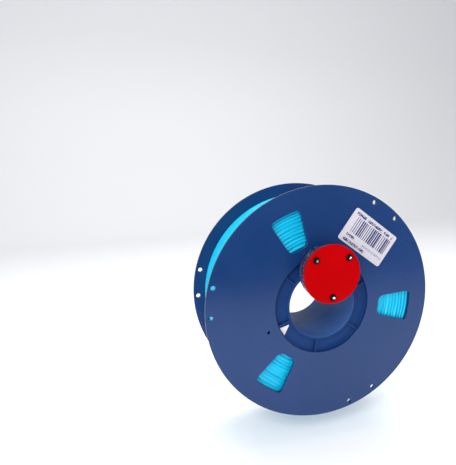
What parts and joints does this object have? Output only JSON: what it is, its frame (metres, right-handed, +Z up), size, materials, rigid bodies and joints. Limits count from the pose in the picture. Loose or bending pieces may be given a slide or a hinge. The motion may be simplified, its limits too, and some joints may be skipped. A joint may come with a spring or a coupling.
{
  "type": "filament spool",
  "caption": "Windowed filament spool, wound full, hanging by its bore on a bearing roller between wall-clamping hubs.",
  "frame": {"origin": "centre of the spool on its own axis, midway between its flanges, which is the centre of the part's box", "axes": "+Y is the spool's axis and points from the labelled front to the rear; +Z is up, with the hubs above the spool's axis; +X is to the right seen from the front"},
  "size_m": [0.2, 0.1028, 0.2],
  "materials": {
    "spool_plastic": "moulded, semi-gloss, very dark navy",
    "filament": "silky, drawn strand, bright cyan blue",
    "label_paper": null,
    "mark_white": "printed white",
    "red_plate": "cut acrylic sheet, polished, red",
    "frosted_clear": "cut clear acrylic, frosted, slightly grey",
    "tinted_clear": "clear acrylic with a violet tint",
    "black_screw": "black oxide steel",
    "zinc_nut": "zinc plated",
    "bearing_steel": "ground bearing steel",
    "shaft_steel": "drawn stainless rod",
    "sleeve_plastic": "pale translucent tube"
  },
  "bodies": {
    "hubs": {"front_outer_plate": "red_plate", "front_backing_plate": "frosted_clear", "front_cradle": "tinted_clear", "front_bearing_outer_race": "bearing_steel", "front_bearing_inboard_shield": "bearing_steel", "front_bearing_outboard_shield": "bearing_steel", "front_screw_1": "black_screw", "front_screw_2": "black_screw", "front_screw_3": "black_screw", "front_nut_1": "zinc_nut", "front_nut_2": "zinc_nut", "front_nut_3": "zinc_nut", "rear_outer_plate": "red_plate", "rear_backing_plate": "frosted_clear", "rear_cradle": "tinted_clear", "rear_bearing_outer_race": "bearing_steel", "rear_bearing_inboard_shield": "bearing_steel", "rear_bearing_outboard_shield": "bearing_steel", "rear_screw_1": "black_screw", "rear_screw_2": "black_screw", "rear_screw_3": "black_screw", "rear_nut_1": "zinc_nut", "rear_nut_2": "zinc_nut", "rear_nut_3": "zinc_nut"},
    "spool": {"front_spool_half": "spool_plastic", "rear_spool_half": "spool_plastic", "filament_winding": "filament", "filament_end": "filament", "spool_label": "label_paper", "arrow_mark": "mark_white"},
    "roller": {"roller_shaft": "shaft_steel", "roller_sleeve": "sleeve_plastic", "front_thrust_washer": "bearing_steel", "front_bearing_inner_race": "bearing_steel", "rear_thrust_washer": "bearing_steel", "rear_bearing_inner_race": "bearing_steel"},
    "front_balls": {"front_bearing_balls": "bearing_steel"},
    "rear_balls": {"rear_bearing_balls": "bearing_steel"}
  },
  "joints": [
    {"name": "spool_spin", "type": "hinge", "parent": "hubs", "child": "spool", "pos_m": [0, 0, 0], "axis": [0, 1, 0], "continuous": true},
    {"name": "roller_spin", "type": "hinge", "parent": "hubs", "child": "roller", "pos_m": [0, 0, 0.0232], "axis": [0, 1, 0], "continuous": true},
    {"name": "front_balls_spin", "type": "hinge", "parent": "hubs", "child": "front_balls", "pos_m": [0, 0, 0.0232], "axis": [0, 1, 0], "continuous": true},
    {"name": "rear_balls_spin", "type": "hinge", "parent": "hubs", "child": "rear_balls", "pos_m": [0, 0, 0.0232], "axis": [0, 1, 0], "continuous": true}
  ],
  "couplings": [
    {"joint": "roller_spin", "follows": "spool_spin", "ratio": 5.2727},
    {"joint": "front_balls_spin", "follows": "spool_spin", "ratio": 2.2586},
    {"joint": "rear_balls_spin", "follows": "spool_spin", "ratio": 2.2586}
  ]
}
